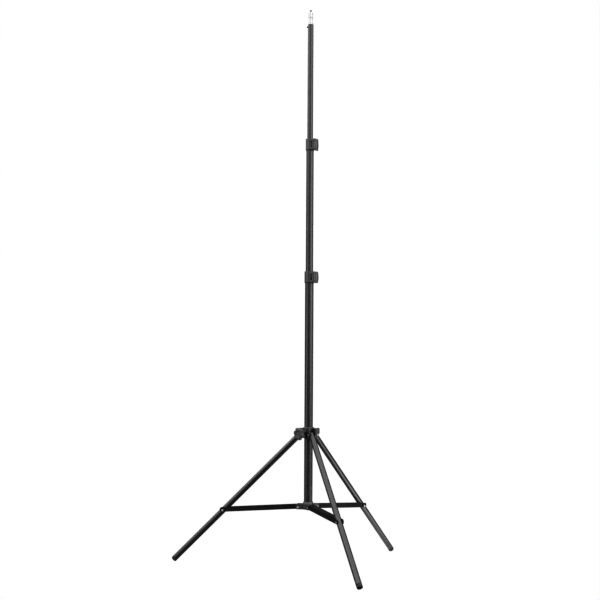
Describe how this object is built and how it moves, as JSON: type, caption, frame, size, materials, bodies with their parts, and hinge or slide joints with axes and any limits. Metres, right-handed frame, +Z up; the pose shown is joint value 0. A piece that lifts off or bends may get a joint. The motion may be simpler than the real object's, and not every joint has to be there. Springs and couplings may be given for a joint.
{
  "type": "light stand",
  "caption": "Tall folding light stand: telescoping black column with flip-lever clamps and a spigot on top, on splayed tube legs hung from a sliding collar and tied to it by braces.",
  "frame": {"origin": "on the floor, on the axis of the column", "axes": "+Z up along the column, one leg towards -Y, the other two 30 and 150 degrees from +X"},
  "size_m": [0.867, 0.7536, 2],
  "materials": {
    "black_tube": "satin black anodised tube",
    "black_steel": "satin black painted pressed steel",
    "black_plastic": "fine-grained moulded black plastic",
    "grey_plastic": "matte dark grey plastic",
    "bright_steel": "zinc-plated steel",
    "aluminium": "turned bare aluminium",
    "rubber": "matte black rubber"
  },
  "bodies": {
    "column": {"main_tube": "black_tube", "bottom_plug": "black_plastic", "lower_bracket": "black_plastic", "bracket_screw": "bright_steel", "front_brace_pivot_rivet": "bright_steel", "right_brace_pivot_rivet": "bright_steel", "left_brace_pivot_rivet": "bright_steel", "lower_clamp_collar": "black_plastic", "lower_clamp_liner": "grey_plastic", "lower_clamp_shoe": "grey_plastic", "lower_lever_pin": "bright_steel", "lower_clamp_screw": "bright_steel"},
    "mid_section": {"mid_tube": "black_tube", "mid_tube_bush": "grey_plastic", "upper_clamp_collar": "black_plastic", "upper_clamp_liner": "grey_plastic", "upper_clamp_shoe": "grey_plastic", "upper_lever_pin": "bright_steel", "upper_clamp_screw": "bright_steel"},
    "top_section": {"top_tube": "black_tube", "top_tube_bush": "grey_plastic", "spigot": "aluminium", "spigot_screw": "black_steel"},
    "lower_lever_arm": {"lower_lever": "black_plastic"},
    "upper_lever_arm": {"upper_lever": "black_plastic"},
    "collar": {"leg_collar": "black_plastic", "collar_shoe": "grey_plastic", "front_leg_rivet_a": "bright_steel", "front_leg_rivet_b": "bright_steel", "right_leg_rivet_a": "bright_steel", "right_leg_rivet_b": "bright_steel", "left_leg_rivet_a": "bright_steel", "left_leg_rivet_b": "bright_steel"},
    "knob": {"collar_knob": "black_plastic", "knob_stem": "bright_steel"},
    "brace_front": {"front_brace": "black_steel", "front_joint_rivet": "bright_steel"},
    "brace_right": {"right_brace": "black_steel", "right_joint_rivet": "bright_steel"},
    "brace_left": {"left_brace": "black_steel", "left_joint_rivet": "bright_steel"},
    "leg_front": {"front_leg_tube": "black_tube", "front_leg_plug": "black_plastic", "front_foot": "rubber"},
    "leg_right": {"right_leg_tube": "black_tube", "right_leg_plug": "black_plastic", "right_foot": "rubber"},
    "leg_left": {"left_leg_tube": "black_tube", "left_leg_plug": "black_plastic", "left_foot": "rubber"}
  },
  "joints": [
    {"name": "mid_section_slide", "type": "slide", "parent": "column", "child": "mid_section", "axis": [0, 0, 1], "range_m": [-0.435, 0.2]},
    {"name": "top_section_slide", "type": "slide", "parent": "mid_section", "child": "top_section", "axis": [0, 0, 1], "range_m": [-0.406, 0.2]},
    {"name": "lower_lever_hinge", "type": "hinge", "parent": "column", "child": "lower_lever_arm", "pos_m": [0.00751, -0.02311, 1.0205], "axis": [0, 0, -1], "range_deg": [0, 110]},
    {"name": "upper_lever_hinge", "type": "hinge", "parent": "mid_section", "child": "upper_lever_arm", "pos_m": [0.00689, -0.02121, 1.5015], "axis": [0, 0, -1], "range_deg": [0, 110]},
    {"name": "leg_collar_slide", "type": "slide", "parent": "column", "child": "collar", "axis": [0, 0, 1], "range_m": [0, 0.40996]},
    {"name": "knob_turn", "type": "hinge", "parent": "collar", "child": "knob", "pos_m": [0, 0, 0.46362], "axis": [-0.866, -0.5, 0], "range_deg": [0, 270]},
    {"name": "front_brace_hinge", "type": "hinge", "parent": "column", "child": "brace_front", "pos_m": [0, -0.0341, 0.20429], "axis": [-1, 0, 0], "range_deg": [0, 93.75]},
    {"name": "front_leg_hinge", "type": "hinge", "parent": "brace_front", "child": "leg_front", "pos_m": [0, -0.31001, 0.18623], "axis": [-1, 0, 0], "range_deg": [-139.15, 0]},
    {"name": "right_brace_hinge", "type": "hinge", "parent": "column", "child": "brace_right", "pos_m": [0.02953, 0.01705, 0.20429], "axis": [0.5, -0.866, 0], "range_deg": [0, 93.75]},
    {"name": "right_leg_hinge", "type": "hinge", "parent": "brace_right", "child": "leg_right", "pos_m": [0.26848, 0.15501, 0.18623], "axis": [0.5, -0.866, 0], "range_deg": [-139.15, 0]},
    {"name": "left_brace_hinge", "type": "hinge", "parent": "column", "child": "brace_left", "pos_m": [-0.02953, 0.01705, 0.20429], "axis": [0.5, 0.866, 0], "range_deg": [0, 93.75]},
    {"name": "left_leg_hinge", "type": "hinge", "parent": "brace_left", "child": "leg_left", "pos_m": [-0.26848, 0.15501, 0.18623], "axis": [0.5, 0.866, 0], "range_deg": [-139.15, 0]}
  ],
  "couplings": [
    {"joint": "front_brace_hinge", "follows": "leg_collar_slide", "rad_per_m": 3.9909},
    {"joint": "front_leg_hinge", "follows": "leg_collar_slide", "rad_per_m": -5.9237},
    {"joint": "right_brace_hinge", "follows": "leg_collar_slide", "rad_per_m": 3.9909},
    {"joint": "right_leg_hinge", "follows": "leg_collar_slide", "rad_per_m": -5.9237},
    {"joint": "left_brace_hinge", "follows": "leg_collar_slide", "rad_per_m": 3.9909},
    {"joint": "left_leg_hinge", "follows": "leg_collar_slide", "rad_per_m": -5.9237}
  ]
}
